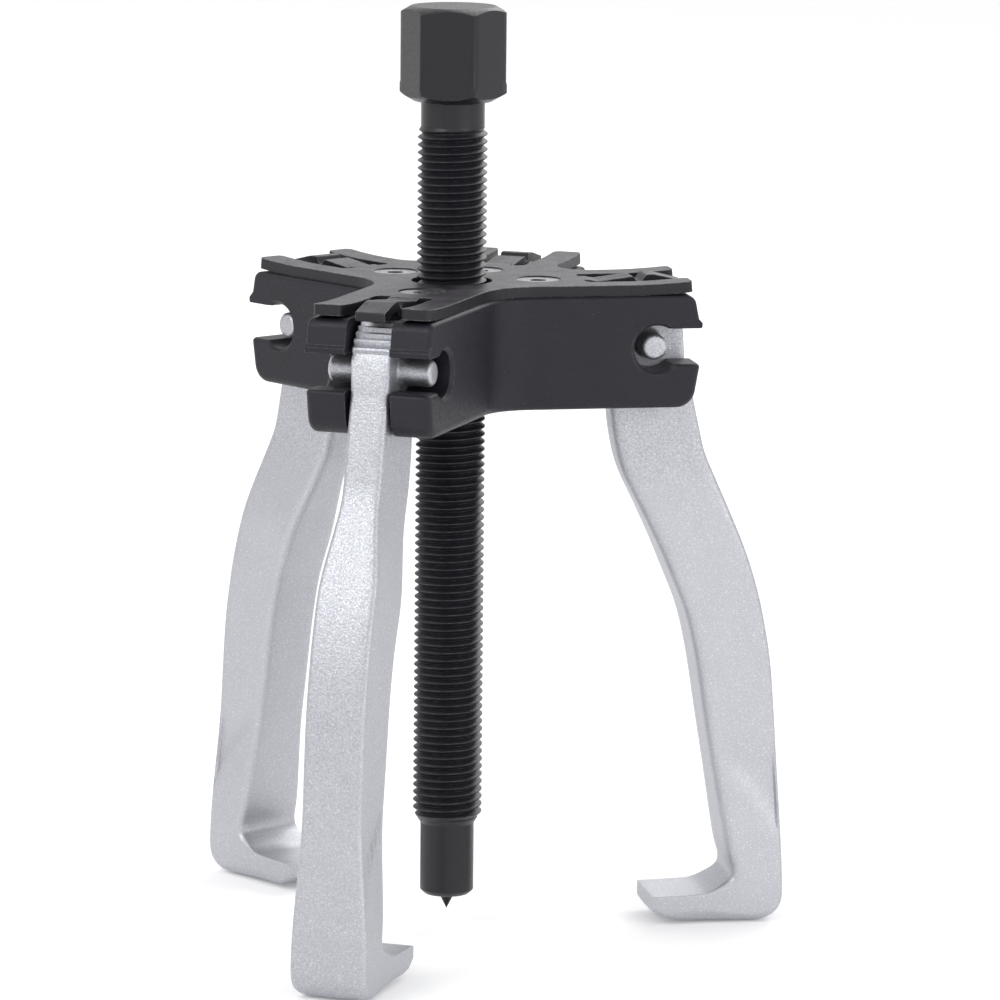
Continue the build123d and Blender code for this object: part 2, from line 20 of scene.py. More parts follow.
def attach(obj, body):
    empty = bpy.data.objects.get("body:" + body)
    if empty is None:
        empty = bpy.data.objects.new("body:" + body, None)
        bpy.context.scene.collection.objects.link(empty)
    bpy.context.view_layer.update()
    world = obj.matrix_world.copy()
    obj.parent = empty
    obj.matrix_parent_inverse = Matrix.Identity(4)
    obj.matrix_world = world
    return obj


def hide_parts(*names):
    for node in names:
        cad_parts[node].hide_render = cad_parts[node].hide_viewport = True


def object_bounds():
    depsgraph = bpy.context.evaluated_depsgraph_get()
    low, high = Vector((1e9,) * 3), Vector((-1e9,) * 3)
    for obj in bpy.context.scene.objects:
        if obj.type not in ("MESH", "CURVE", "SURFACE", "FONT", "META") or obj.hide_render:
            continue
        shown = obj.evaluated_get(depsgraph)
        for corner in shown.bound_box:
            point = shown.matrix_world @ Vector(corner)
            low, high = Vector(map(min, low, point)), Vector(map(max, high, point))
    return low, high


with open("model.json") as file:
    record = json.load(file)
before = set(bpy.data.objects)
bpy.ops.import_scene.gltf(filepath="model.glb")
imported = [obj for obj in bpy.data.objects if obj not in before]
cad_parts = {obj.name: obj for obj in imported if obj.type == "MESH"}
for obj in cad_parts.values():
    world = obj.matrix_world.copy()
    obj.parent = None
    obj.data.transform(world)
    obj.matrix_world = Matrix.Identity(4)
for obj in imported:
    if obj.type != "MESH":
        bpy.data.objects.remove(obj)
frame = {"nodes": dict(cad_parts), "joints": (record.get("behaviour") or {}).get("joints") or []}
cad_low, cad_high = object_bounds()
METRE = 1000.0
joints = {joint["name"]: joint for joint in frame["joints"]}
trunnion_at = Vector(joints["front_leg_swing"]["pos_m"]) * METRE
print("CAD box", [round(v * METRE, 1) for v in cad_low], [round(v * METRE, 1) for v in cad_high])
print("trunnion axis of the front leg", [round(v, 2) for v in trunnion_at])

# %% [markdown]
# ## Camera and light
#
# The tool stands on its three feet on a pale floor.  It is seen from a little above and
# slightly to the right of the front leg, through a long lens, so that its verticals stay
# nearly parallel.  Dull zinc and black oxide both show their shape by what they reflect, so
# the light comes from wide soft boxes and a bright surround, and not from a bare lamp.

# %% Camera
CAMERA_AT = Vector((0.50313, -1.42059, 0.36433))
CAMERA_LOOKS = Vector((-0.3209, 0.9316, -0.1705))
CAMERA_ROLL = radians(0.56)
CAMERA_LENS = 212.1

camera_data = bpy.data.cameras.new("camera")
camera_data.lens = CAMERA_LENS
camera_data.clip_start = 0.05
camera_data.clip_end = 60.0
camera = bpy.data.objects.new("camera", camera_data)
camera.rotation_mode = "QUATERNION"
camera.location = CAMERA_AT
camera.rotation_quaternion = (
    CAMERA_LOOKS.to_track_quat("-Z", "Y") @ Matrix.Rotation(CAMERA_ROLL, 4, "Z").to_quaternion()
)
bpy.context.scene.collection.objects.link(camera)
bpy.context.scene.camera = camera
print("camera", [round(v, 3) for v in camera.location], "lens", CAMERA_LENS)


# %% [markdown]
# Every finish is a small tree of shader nodes.  Two helpers keep the trees short: one turns the
# hex code of a colour into the linear values that a shader needs, and one adds any node with
# its settings, incoming wires and numbers.

# %% Colour and node helpers
def colour(hex_code):
    """Linear RGBA of an sRGB hex code."""
    levels = [int(hex_code[i : i + 2], 16) / 255 for i in (1, 3, 5)]
    linear = [v / 12.92 if v <= 0.04045 else ((v + 0.055) / 1.055) ** 2.4 for v in levels]
    return (*linear, 1.0)


def add(tree, kind, output, settings=None, links=None, **values):
    """Add a node and return one of its outputs.

    settings are the node's own attributes, links its incoming wires, and values the numbers or
    colours of its inputs, with _ for a space in the input's name.
    """
    node = tree.nodes.new(kind)
    for name, value in (settings or {}).items():
        setattr(node, name, value)
    for name, value in values.items():
        node.inputs[name.replace("_", " ")].default_value = value
    for name, socket in (links or {}).items():
        tree.links.new(socket, node.inputs[name])
    return node.outputs[output]


# %% [markdown]
# The surround is a big studio with brighter and dimmer walls, not an even white.  A metal
# shows its small wrinkles only when neighbouring spots reflect something different.

# %% Soft boxes
TOOL_MIDDLE = Vector((0.0, 0.0, 0.11))
SOFT_BOXES = {  # place and size in metres, power in watts
    "key_box": ((-0.7, -1.3, 1.2), 0.9, 9.5),
    "fill_box": ((1.5, -0.6, 0.7), 0.8, 3.5),
    "back_box": ((0.2, 1.4, 1.3), 1.4, 10.0),
}


def soft_box(name, place, size, power):
    """A square area light at place, turned to the middle of the tool."""
    data = bpy.data.lights.new(name, "AREA")
    data.size = size
    data.energy = power
    lamp = bpy.data.objects.new(name, data)
    lamp.location = place
    lamp.rotation_mode = "QUATERNION"
    lamp.rotation_quaternion = (TOOL_MIDDLE - Vector(place)).to_track_quat("-Z", "Y")
    bpy.context.scene.collection.objects.link(lamp)


for name, (place, size, power) in SOFT_BOXES.items():
    soft_box(name, place, size, power)
print("lights", [light.name for light in bpy.data.lights])

# %% Surround with dimmer and brighter walls
DIM_WALL, BRIGHT_WALL = 0.55, 1.25
WALL_PATTERN = 1.7  # blobs of light and dim across the room

world = bpy.data.worlds.new("studio_surround")
world.use_nodes = True
room = world.node_tree
way = add(room, "ShaderNodeTexCoord", "Generated")
walls = add(room, "ShaderNodeTexNoise", "Fac", links={"Vector": way}, Scale=WALL_PATTERN, Detail=0.0)
level = add(
    room, "ShaderNodeMapRange", "Result", links={"Value": walls},
    From_Min=0.36, From_Max=0.56, To_Min=DIM_WALL, To_Max=BRIGHT_WALL,
)
room.links.new(level, room.nodes["Background"].inputs["Strength"])
room.nodes["Background"].inputs["Color"].default_value = colour("#ffffff")
bpy.context.scene.world = world
bpy.context.scene.view_settings.view_transform = "Standard"
print("surround", DIM_WALL, "to", BRIGHT_WALL)

# %% [markdown]
# ## Finishes
#
# Every finish reads Object coordinates, so a pattern stays on its piece when a joint moves.
# Sizes of patterns are millimetres, divided into the metre that Object coordinates count.


# %% A blank finish
def new_finish(name, **surface):
    """A material with a Principled shader, its constant values set on the shader's own sockets."""
    material = bpy.data.materials.new(name)
    material.use_nodes = True
    tree = material.node_tree
    shader = tree.nodes["Principled BSDF"]
    for key, value in surface.items():
        shader.inputs[key.replace("_", " ")].default_value = value
    return material, tree, shader, add(tree, "ShaderNodeTexCoord", "Object")


# %% [markdown]
# The legs are forged steel, shot blasted and bright zinc plated.  Zinc is a soft, slightly
# blue white metal, and over a blasted forging it shows the wrinkles of orange peel.  The
# wrinkles could be modelled, but they are smaller than any sensible mesh, so a bump does them.
# How strong they are comes from an attribute of the leg, because the flat sides were pressed
# smoother in the die than the outer face.  The sparkle of real zinc is finer than its pattern
# here, which is drawn as coarse as it needs to show.

# %% Bright zinc over a blasted forging
PEEL_SIZE, SPARKLE_SIZE, STAIN_SIZE = 0.6, 0.35, 9.0
PEEL_DEPTH, SPARKLE_DEPTH = 0.1, 0.03


def zinc_forging():
    material, tree, shader, place = new_finish("bright_zinc_on_blasted_forging", Metallic=1.0)
    amount = add(tree, "ShaderNodeAttribute", "Fac", {"attribute_name": "peel"})
    wrinkle = add(
        tree, "ShaderNodeTexVoronoi", "Distance", {"feature": "SMOOTH_F1"}, {"Vector": place},
        Scale=METRE / PEEL_SIZE, Smoothness=0.5,
    )
    sparkle = add(
        tree, "ShaderNodeTexNoise", "Fac", links={"Vector": place}, Scale=METRE / SPARKLE_SIZE, Detail=1.0
    )
    stains = add(
        tree, "ShaderNodeTexNoise", "Fac", links={"Vector": place}, Scale=METRE / STAIN_SIZE, Detail=3.0
    )
    # The plating is a little greyer in stains, and the valleys of the peel get painted shade, a darker
    # colour where shade falls.
    stained = add(
        tree, "ShaderNodeMix", "Result", {"data_type": "RGBA"}, {"Factor": stains},
        A=colour("#b7b8be"), B=colour("#bfc0c5"),
    )
    painted_valley_shade = add(
        tree, "ShaderNodeMapRange", "Result", links={"Value": wrinkle},
        From_Min=0.3, From_Max=0.7, To_Min=0.0, To_Max=0.35,
    )
    shade = add(tree, "ShaderNodeMath", "Value", {"operation": "MULTIPLY"}, {0: painted_valley_shade, 1: amount})
    toned = add(
        tree, "ShaderNodeMix", "Result", {"data_type": "RGBA"}, {"Factor": shade, "A": stained},
        B=colour("#8d8f97"),
    )
    # Painted highlight: where the sparkle noise is high the colour is made paler, as painted glints.
    painted_glint = add(
        tree, "ShaderNodeMapRange", "Result", links={"Value": sparkle}, From_Min=0.58, From_Max=0.72
    )
    bright = add(
        tree, "ShaderNodeMix", "Result", {"data_type": "RGBA"}, {"Factor": painted_glint, "A": toned},
        B=colour("#d2d3d8"),
    )
    # The crystals that sparkle are also the smoothest spots.
    polish = add(
        tree, "ShaderNodeMapRange", "Result", links={"Value": sparkle},
        From_Min=0.35, From_Max=0.7, To_Min=0.56, To_Max=0.44,
    )
    height = add(tree, "ShaderNodeMath", "Value", {"operation": "MULTIPLY"}, {0: wrinkle, 1: amount})
    coarse = add(
        tree, "ShaderNodeBump", "Normal", {"invert": True}, {"Height": height},
        Distance=PEEL_DEPTH / METRE, Strength=0.6,
    )
    fine = add(
        tree, "ShaderNodeBump", "Normal", links={"Height": sparkle, "Normal": coarse},
        Distance=SPARKLE_DEPTH / METRE, Strength=0.4,
    )
    tree.links.new(bright, shader.inputs["Base Color"])
    tree.links.new(polish, shader.inputs["Roughness"])
    tree.links.new(fine, shader.inputs["Normal"])
    return material


# %% [markdown]
# The three black finishes share two things.  Their edges are broken and rubbed paler where
# hands and tools meet them, and their skin has a fine grain that dulls it unevenly.  The edges
# could be bevelled in the mesh, but the shader's Bevel node softens the same corners and also
# tells where they are, so the rubbing follows them by itself.  The grain of a real coating is
# finer than this and is drawn as coarse as it needs to show.

# %% Rubbed edges and grain of the black finishes
EDGE_SOFT = 0.35  # width by which forged and stamped edges are broken
RUB_RUN = 1.5  # length of a rubbed stretch


def rub_edges(tree, shader, place, base, rubbed_hex):
    """Colour the shader like base, paler in short uneven runs on the edges.

    Returns the normal that is softened over the edges.
    """
    soft = add(tree, "ShaderNodeBevel", "Normal", {"samples": 6}, Radius=EDGE_SOFT / METRE)
    flat = add(tree, "ShaderNodeNewGeometry", "Normal")
    same = add(tree, "ShaderNodeVectorMath", "Value", {"operation": "DOT_PRODUCT"}, {0: soft, 1: flat})
    edge = add(
        tree, "ShaderNodeMapRange", "Result", links={"Value": same}, From_Min=0.995, From_Max=0.90
    )
    runs = add(
        tree, "ShaderNodeTexNoise", "Fac", links={"Vector": place}, Scale=METRE / RUB_RUN, Detail=3.0
    )
    uneven = add(
        tree, "ShaderNodeMapRange", "Result", links={"Value": runs},
        From_Min=0.42, From_Max=0.66, To_Min=0.1, To_Max=0.9,
    )
    rubbed = add(tree, "ShaderNodeMath", "Value", {"operation": "MULTIPLY"}, {0: edge, 1: uneven})
    worn = add(
        tree, "ShaderNodeMix", "Result", {"data_type": "RGBA"}, {"Factor": rubbed, "A": base},
        B=colour(rubbed_hex),
    )
    tree.links.new(worn, shader.inputs["Base Color"])
    return soft


def dull_skin(tree, shader, place, grain_size, depth, strength, rough, under):
    """Grain that spreads the roughness between two values and stands up from the normal under it."""
    grain = add(
        tree, "ShaderNodeTexNoise", "Fac", links={"Vector": place}, Scale=METRE / grain_size, Detail=3.0
    )
    dull = add(
        tree, "ShaderNodeMapRange", "Result", links={"Value": grain},
        From_Min=0.3, From_Max=0.7, To_Min=rough[0], To_Max=rough[1],
    )
    skin = add(
        tree, "ShaderNodeBump", "Normal", links={"Height": grain, **under},
        Distance=depth / METRE, Strength=strength,
    )
    tree.links.new(dull, shader.inputs["Roughness"])
    tree.links.new(skin, shader.inputs["Normal"])


# %% [markdown]
# The head is a forging with a matt black phosphate coat.  The coat is dry, faintly violet and
# mottled, because the crystals grow unevenly on the forging skin, and light dust clings to it.

# %% Black phosphate on the head
MOTTLE_SIZE, DUST_SIZE = 7.0, 0.5


def black_phosphate():
    material, tree, shader, place = new_finish(
        "black_phosphate_on_forging", Metallic=0.0, Specular_IOR_Level=0.34
    )
    mottle = add(
        tree, "ShaderNodeTexNoise", "Fac", links={"Vector": place}, Scale=METRE / MOTTLE_SIZE, Detail=5.0
    )
    base = add(
        tree, "ShaderNodeMix", "Result", {"data_type": "RGBA"}, {"Factor": mottle},
        A=colour("#131119"), B=colour("#1d1b24"),
    )
    dust = add(
        tree, "ShaderNodeTexNoise", "Fac", links={"Vector": place}, Scale=METRE / DUST_SIZE, Detail=1.0
    )
    speck = add(
        tree, "ShaderNodeMapRange", "Result", links={"Value": dust}, From_Min=0.76, From_Max=0.86
    )
    dusty = add(
        tree, "ShaderNodeMix", "Result", {"data_type": "RGBA"}, {"Factor": speck, "A": base},
        B=colour("#6a686e"),
    )
    soft = rub_edges(tree, shader, place, dusty, "#67656b")
    dull_skin(tree, shader, place, 0.6, 0.06, 0.6, (0.4, 0.56), {"Normal": soft})
    return material


# %% [markdown]
# The cover plate is stamped spring steel with black oxide, a thinner and slicker coat than
# phosphate.  Only its top is rubbed by hands and benches, so the paler scuffs are held to the
# faces that look up; that paler top is partly these scuffs and partly painted light from above.

# %% Black oxide on the stamped spring steel
SCUFF_SIZE = 6.0


def black_spring_steel():
    material, tree, shader, place = new_finish("black_oxide_on_spring_steel", Metallic=0.3)
    normal = add(tree, "ShaderNodeNewGeometry", "Normal")
    up = add(tree, "ShaderNodeSeparateXYZ", "Z", links={0: normal})
    top = add(tree, "ShaderNodeMapRange", "Result", links={"Value": up}, From_Min=0.8, From_Max=0.98)
    cloud = add(
        tree, "ShaderNodeTexNoise", "Fac", links={"Vector": place},
        Scale=METRE / SCUFF_SIZE, Detail=8.0, Roughness=0.75,
    )
    scuffs = add(
        tree, "ShaderNodeMapRange", "Result", links={"Value": cloud}, From_Min=0.36, From_Max=0.62
    )
    # Paler tone on the faces that look up: partly scuffs, partly painted light from above.
    scuffs_and_painted_top_light = add(tree, "ShaderNodeMath", "Value", {"operation": "MULTIPLY"}, {0: scuffs, 1: top})
    base = add(
        tree, "ShaderNodeMix", "Result", {"data_type": "RGBA"}, {"Factor": scuffs_and_painted_top_light},
        A=colour("#1b191f"), B=colour("#4c4950"),
    )
    soft = rub_edges(tree, shader, place, base, "#8b898f")
    dull_skin(tree, shader, place, 0.5, 0.04, 0.5, (0.36, 0.52), {"Normal": soft})
    return material


# %% [markdown]
# The screw has oiled black oxide over a rolled thread.  The oil makes it the slickest of the
# three, and the crests, which run in the head's thread, are toned apart from the valleys by
# their distance from the axis.  Its edges are rounded in the mesh, so it only takes the rubbing
# and not the softened normal.

# %% Oiled black oxide on the rolled thread
CREST_RUB_START, CREST_RUB_FULL = 8.7, 8.95  # radii between which valleys pass into crests


def black_thread():
    material, tree, shader, place = new_finish("oiled_black_oxide_on_thread", Metallic=0.2)
    across = add(tree, "ShaderNodeVectorMath", "Vector", {"operation": "MULTIPLY"}, {0: place})
    across.node.inputs[1].default_value = (1.0, 1.0, 0.0)
    radius = add(tree, "ShaderNodeVectorMath", "Value", {"operation": "LENGTH"}, {0: across})
    crest = add(
        tree, "ShaderNodeMapRange", "Result", links={"Value": radius},
        From_Min=CREST_RUB_START / METRE, From_Max=CREST_RUB_FULL / METRE,
    )
    base = add(
        tree, "ShaderNodeMix", "Result", {"data_type": "RGBA"}, {"Factor": crest},
        A=colour("#17161c"), B=colour("#121017"),
    )
    rub_edges(tree, shader, place, base, "#4d4b51")
    dull_skin(tree, shader, place, 0.6, 0.03, 0.5, (0.28, 0.45), {})
    return material


# %% [markdown]
# The small parts and the floor need no more than one pattern each: a stain on the plated
# screws, grinding on the point, and the fibres of matt paper, lit a little from below as on a
# light table so that it stays white in the distance.

# %% Two-tone finishes of the small parts and the floor
def two_tone(name, size, dark, light, rough, **surface):
    """A finish that varies between two colours and two roughnesses over blobs of one size."""
    material, tree, shader, place = new_finish(name, **surface)
    blobs = add(tree, "ShaderNodeTexNoise", "Fac", links={"Vector": place}, Scale=METRE / size, Detail=3.0)
    share = add(
        tree, "ShaderNodeMapRange", "Result", links={"Value": blobs}, From_Min=0.35, From_Max=0.65
    )
    tone = add(
        tree, "ShaderNodeMix", "Result", {"data_type": "RGBA"}, {"Factor": share},
        A=colour(dark), B=colour(light),
    )
    dull = add(
        tree, "ShaderNodeMapRange", "Result", links={"Value": share}, To_Min=rough[0], To_Max=rough[1]
    )
    tree.links.new(tone, shader.inputs["Base Color"])
    tree.links.new(dull, shader.inputs["Roughness"])
    return material


ZINC = zinc_forging()
PHOSPHATE = black_phosphate()
SPRING_STEEL = black_spring_steel()
THREAD_OXIDE = black_thread()
SCREW_ZINC = two_tone("zinc_plate_on_screw", 1.2, "#8a898d", "#a8a7aa", (0.3, 0.45), Metallic=1.0)
POINT_STEEL = two_tone("hardened_steel_point", 0.3, "#17161a", "#2b2a2e", (0.3, 0.42), Metallic=0.8)
PAPER = two_tone(
    "matt_studio_paper", 3.0, "#f5f5f6", "#f8f8f8", (0.85, 0.95),
    Emission_Color=colour("#ffffff"), Emission_Strength=0.14,
)
print("finishes", [m.name for m in bpy.data.materials])

# %% [markdown]
# The floor is one plain sheet at the height of the soles.  It is far bigger than the tool, so
# that its edge is nowhere in sight, and it is linked to the scene and not attached to the object.

# %% The floor under the feet
FLOOR_SIZE = 24.0
floor_mesh = bmesh.new()
bmesh.ops.create_grid(floor_mesh, x_segments=2, y_segments=2, size=FLOOR_SIZE / 2)
bmesh.ops.translate(floor_mesh, vec=(0, 0, cad_low.z), verts=floor_mesh.verts)
floor_data = bpy.data.meshes.new("floor")
floor_mesh.to_mesh(floor_data)
floor_mesh.free()
floor = bpy.data.objects.new("floor", floor_data)
floor.data.materials.append(PAPER)
bpy.context.scene.collection.objects.link(floor)
print("floor at", round(cad_low.z * METRE, 2), "mm")

# %% [markdown]
# ## Helpers for meshes
#
# A bmesh is edited in millimetres and turned into a finished object by one function.  It
# recalculates the normals, shades smooth except across sharp corners, and scales to metres.

# %% Mesh helpers
SHARP_CORNER = radians(32)


def to_object(bm, name, material):
    """Scale a bmesh to metres and make it an object at the origin."""
    bmesh.ops.recalc_face_normals(bm, faces=bm.faces)
    for face in bm.faces:
        face.smooth = True
    for edge in bm.edges:
        edge.smooth = edge.calc_face_angle(0.0) < SHARP_CORNER
    bmesh.ops.scale(bm, vec=(1 / METRE,) * 3, verts=bm.verts)
    mesh = bpy.data.meshes.new(name)
    bm.to_mesh(mesh)
    bm.free()
    mesh.materials.append(material)
    piece = bpy.data.objects.new(name, mesh)
    bpy.context.scene.collection.objects.link(piece)
    return piece


def combine(base, tool, operation):
    """Boolean of two closed bmeshes; both are used up."""
    pair = []
    for bm in (base, tool):
        bmesh.ops.recalc_face_normals(bm, faces=bm.faces)
        mesh = bpy.data.meshes.new("part")
        bm.to_mesh(mesh)
        bm.free()
        pair.append(bpy.data.objects.new("part", mesh))
        bpy.context.scene.collection.objects.link(pair[-1])
    cut = pair[0].modifiers.new("cut", "BOOLEAN")
    cut.operation = operation
    cut.object = pair[1]
    cut.solver = "EXACT"
    graph = bpy.context.evaluated_depsgraph_get()
    result = bmesh.new()
    result.from_object(pair[0], graph)
    for part in pair:
        bpy.data.objects.remove(part)
    return result


def lathe(profile, steps=48):
    """Closed solid of revolution about Z from (radius, z) points that start and end on the axis."""
    bm = bmesh.new()
    verts = [bm.verts.new((radius, 0, z)) for radius, z in profile]
    edges = [bm.edges.new(pair) for pair in zip(verts, verts[1:])]
    bmesh.ops.spin(
        bm, geom=verts + edges, cent=(0, 0, 0), axis=(0, 0, 1), angle=2 * pi, steps=steps, use_merge=True
    )
    bmesh.ops.remove_doubles(bm, verts=bm.verts, dist=0.001)
    bmesh.ops.recalc_face_normals(bm, faces=bm.faces)
    return bm


# %% [markdown]
# ## The hook legs
#
# Each leg is one forging: a round toothed head in the slot of its arm, a cranked blade, and a
# wide foot with a flat toe that hooks behind the gear.  It could be an extruded outline, but
# then its edges would be hard and its width constant.  Here a rounded section is lofted from
# the top of the head to the tip of the toe.  Each section spans from a point on the outer
# outline to a point on the inner one, so the sections fan round the heel by themselves.

# %% Outline of the leg in its own plane: reach from the screw, and height
HEAD_ROUND = 9.55
HEAD_INSET, HEAD_RISE = 0.3, 3.2  # from the trunnion axis to the middle of the round head
HEAD_CENTRE = Vector((-trunnion_at.y - HEAD_INSET, trunnion_at.z + HEAD_RISE))
FIRST_TOOTH, TOOTH_STEP, CREST_HALF = 20.0, 13.6, 1.6  # degrees round the head
TOOTH_COUNT, TOOTH_DEPTH = 6, 0.85
BACK_GAP = 8.0  # degrees from the last tooth to the smooth back of the head
STEPS_BETWEEN = 4
BLADE = [  # a point on the outer outline and the one across from it on the inner
    ((61.0, 140.0), (41.6, 138.0)),
    ((62.9, 132.0), (41.4, 129.0)),
    ((64.9, 123.0), (42.6, 119.0)),
    ((66.7, 115.5), (44.9, 110.5)),
    ((69.8, 108.0), (49.4, 101.3)),
    ((73.8, 98.5), (53.9, 92.0)),
    ((78.0, 88.0), (58.2, 82.0)),
    ((81.1, 78.0), (61.4, 74.0)),
    ((83.0, 69.5), (63.4, 66.5)),
    ((84.6, 60.0), (65.1, 58.0)),
    ((85.7, 48.0), (67.0, 46.0)),
    ((86.6, 35.0), (69.2, 33.0)),
    ((87.4, 22.0), (71.2, 21.5)),
    ((88.0, 10.0), (73.2, 10.5)),
    ((88.3, 3.0), (74.6, 5.5)),
]
HEEL_CENTRE = Vector((80.9, -2.35))
HEEL_ROUND = 7.5
GUSSET = [(74.6, 3.2), (73.7, 1.9), (72.5, 1.0), (71.1, 0.1), (69.6, -0.8)]
TOE = [
    ((77.0, -9.82), (67.6, -1.5)),
    ((72.0, -9.75), (65.2, -1.75)),
    ((66.0, -9.5), (61.5, -1.9)),
    ((60.5, -9.0), (57.5, -2.0)),
    ((56.6, -8.1), (54.8, -2.0)),
]
TOE_TIP = ((53.4, -6.3), (53.4, -2.1))


def on_circle(centre, radius, elevation):
    """A point at elevation degrees above the horizontal on a circle."""
    angle = radians(elevation)
    return centre + radius * Vector((cos(angle), sin(angle)))


def head_sections():
    """Sections from the top of the head down to its middle, with a V between every two teeth."""
    stops = []
    for index in range(TOOTH_COUNT):
        crest = FIRST_TOOTH + index * TOOTH_STEP
        groove = crest - TOOTH_STEP / 2
        stops += [(groove, TOOTH_DEPTH), (crest - CREST_HALF, 0.0), (crest + CREST_HALF, 0.0)]
    last = FIRST_TOOTH + (TOOTH_COUNT - 0.5) * TOOTH_STEP
    stops += [(last, TOOTH_DEPTH), (last + TOOTH_STEP / 2 - CREST_HALF, 0.0)]
    top = stops[-1][0]
    rows = []
    for elevation, depth in reversed(stops):
        share = (top - elevation) / top
        back = top + BACK_GAP + share * (180.0 - top - BACK_GAP)
        tooth = on_circle(HEAD_CENTRE, HEAD_ROUND - depth, elevation)
        rows.append((tooth, on_circle(HEAD_CENTRE, HEAD_ROUND, back)))
    return rows + [tuple(on_circle(HEAD_CENTRE, HEAD_ROUND, side) for side in (0, 180))]


def curve_point(a, b, c, d, t):
    """The point at share t from b to c on the Catmull-Rom curve through a, b, c and d."""
    linear = (c - a) * t
    square = (2 * a - 5 * b + 4 * c - d) * t**2
    cube = (3 * b - a - 3 * c + d) * t**3
    return 0.5 * (2 * b + linear + square + cube)


def smooth_between(stations, steps):
    """More stations on a smooth curve through the given ones."""
    rows = [[Vector(point) for point in station] for station in stations]
    rows = [rows[0]] + rows + [rows[-1]]
    result = []
    for four in zip(rows, rows[1:], rows[2:], rows[3:]):
        for step in range(steps):
            result.append(tuple(curve_point(*points, step / steps) for points in zip(*four)))
    return result + [tuple(rows[-1])]


heel = [
    (on_circle(HEEL_CENTRE, HEEL_ROUND, -90 * step / (len(GUSSET) - 1)), inner)
    for step, inner in enumerate(GUSSET)
]
sections = head_sections()
teeth_rows = len(sections)
sections += smooth_between(BLADE + heel + TOE, STEPS_BETWEEN) + [tuple(Vector(p) for p in TOE_TIP)]
print("leg sections", len(sections), "of them on the toothed head", teeth_rows)

# %% [markdown]
# The blade is narrow at the head, so that it fits the slot of the arm.  It widens below the
# head forging and flares at the foot.  A curved crease on each side of the foot is left
# where the flare was forged into the flat of the blade.

# %% Width and crease along the leg
NECK_HALF, BLADE_HALF, FOOT_HALF = 5.1, 7.9, 10.15
NECK_END, BLADE_START, BLADE_END, FOOT_START = 113.0, 87.0, 38.0, 0.0
CREASE_REACH, CREASE_SWEEP, CREASE_DEPTH, CREASE_BEND = 88.5, 17.0, 0.8, 1.6
CREASE_FOOT, CREASE_RISE = 9.0, 26.0


def step_between(low, high, value):
    """Smooth step from 0 at low to 1 at high."""
    t = min(max((value - low) / (high - low), 0.0), 1.0)
    return t * t * (3 - 2 * t)


def half_width(height):
    on_blade = (BLADE_HALF - NECK_HALF) * step_between(NECK_END, BLADE_START, height)
    on_foot = (FOOT_HALF - BLADE_HALF) * step_between(BLADE_END, FOOT_START, height)
    return NECK_HALF + on_blade + on_foot


def crease_offset(reach, height):
    """How far the side of the foot is set back outside the curved crease, as a negative number."""
    up = max(height - CREASE_FOOT, 0.0) / CREASE_RISE
    line = CREASE_REACH - CREASE_SWEEP * up**CREASE_BEND
    inside = step_between(0.7, -0.7, reach - line)
    fade = step_between(40.0, 28.0, height) * step_between(-8.0, 8.0, height)
    return -CREASE_DEPTH * (1.0 - inside) * fade


print("widths", [round(2 * half_width(z), 1) for z in (NECK_END, BLADE_START, FOOT_START)])

# %% [markdown]
# A section is a rectangle with four rounded corners.  The corners are tight on the sharp teeth,
# wider on the blade, and widest on the outer side of the foot.  The outer face of the foot is
# also a little hollow.  One side is worked out and mirrored for the other, and each point
# carries how much orange peel the zinc shows there.

# %% One rounded section
ACROSS, DEEP, CORNER = 5, 12, 4  # faces across the outer face, along a side, and in a corner
HEAD_OUTER_ROUND, HEAD_INNER_ROUND = 0.35, 0.6
OUTER_ROUND, FOOT_ADDS, TOE_TAKES = 1.3, 2.7, 3.0
INNER_ROUND, FOOT_TAKES = 2.0, 1.7
MOST_ROUND = 0.42  # share of the thickness that a corner may take
FOOT_HOLLOW = 0.4
PEEL_WRAP = 2.0  # how far the peel of the outer face runs round the corner


def section_ring(outer, inner, toothed, along):
    """Points (x, reach, height, facing out) of one rounded section, in order round it."""
    span = inner - outer
    thick = span.length
    deep = span / thick
    half = NECK_HALF if toothed else half_width((outer.y + inner.y) / 2)
    on_foot = step_between(0.72, 0.85, along)
    on_toe = step_between(0.9, 1.0, along)
    outer_round = HEAD_OUTER_ROUND if toothed else OUTER_ROUND + FOOT_ADDS * on_foot - TOE_TAKES * on_toe
    inner_round = HEAD_INNER_ROUND if toothed else INNER_ROUND - FOOT_TAKES * on_foot
    outer_round = min(outer_round, MOST_ROUND * thick)
    inner_round = min(inner_round, MOST_ROUND * thick)
    hollow = FOOT_HOLLOW * on_foot
    corner = [pi / 2 * i / CORNER for i in range(1, CORNER)]
    side = [(half - outer_round * (1 - sin(a)), hollow + outer_round * (1 - cos(a))) for a in corner]
    straight = thick - outer_round - inner_round - hollow
    side += [(half, hollow + outer_round + straight * i / DEEP) for i in range(DEEP + 1)]
    side += [(half - inner_round * (1 - cos(a)), thick - inner_round * (1 - sin(a))) for a in corner]
    spread = [2 * i / ACROSS - 1 for i in range(ACROSS + 1)]
    outer_face = [(half - outer_round) * share for share in spread]
    points = [(x, hollow * (x / half) ** 2) for x in outer_face] + side
    points += [(-(half - inner_round) * share, thick) for share in spread]
    points += [(-x, s) for x, s in reversed(side)]
    ring = []
    for x, s in points:
        place = outer + deep * s
        if abs(x) > half - 0.01 and not toothed:
            x += crease_offset(place.x, place.y) * (1 if x > 0 else -1)
        ring.append((x, place.x, place.y, 1.0 - min(s / PEEL_WRAP, 1.0)))
    return ring


print("points in a section", len(section_ring(*sections[-1], False, 1.0)))

# %% [markdown]
# The loft starts as a ring of vertices and is extruded from section to section.  After each
# extrusion the new ring is moved to its section, and both ends are closed with one face.

# %% Loft the leg of the front arm
SIDE_PEEL = 0.14
FOOT_PEEL = 0.6


def outer_peel(height):
    """The peel of the outer face, full on the blade and weaker down the foot."""
    return FOOT_PEEL + (1.0 - FOOT_PEEL) * step_between(20.0, 66.0, height)


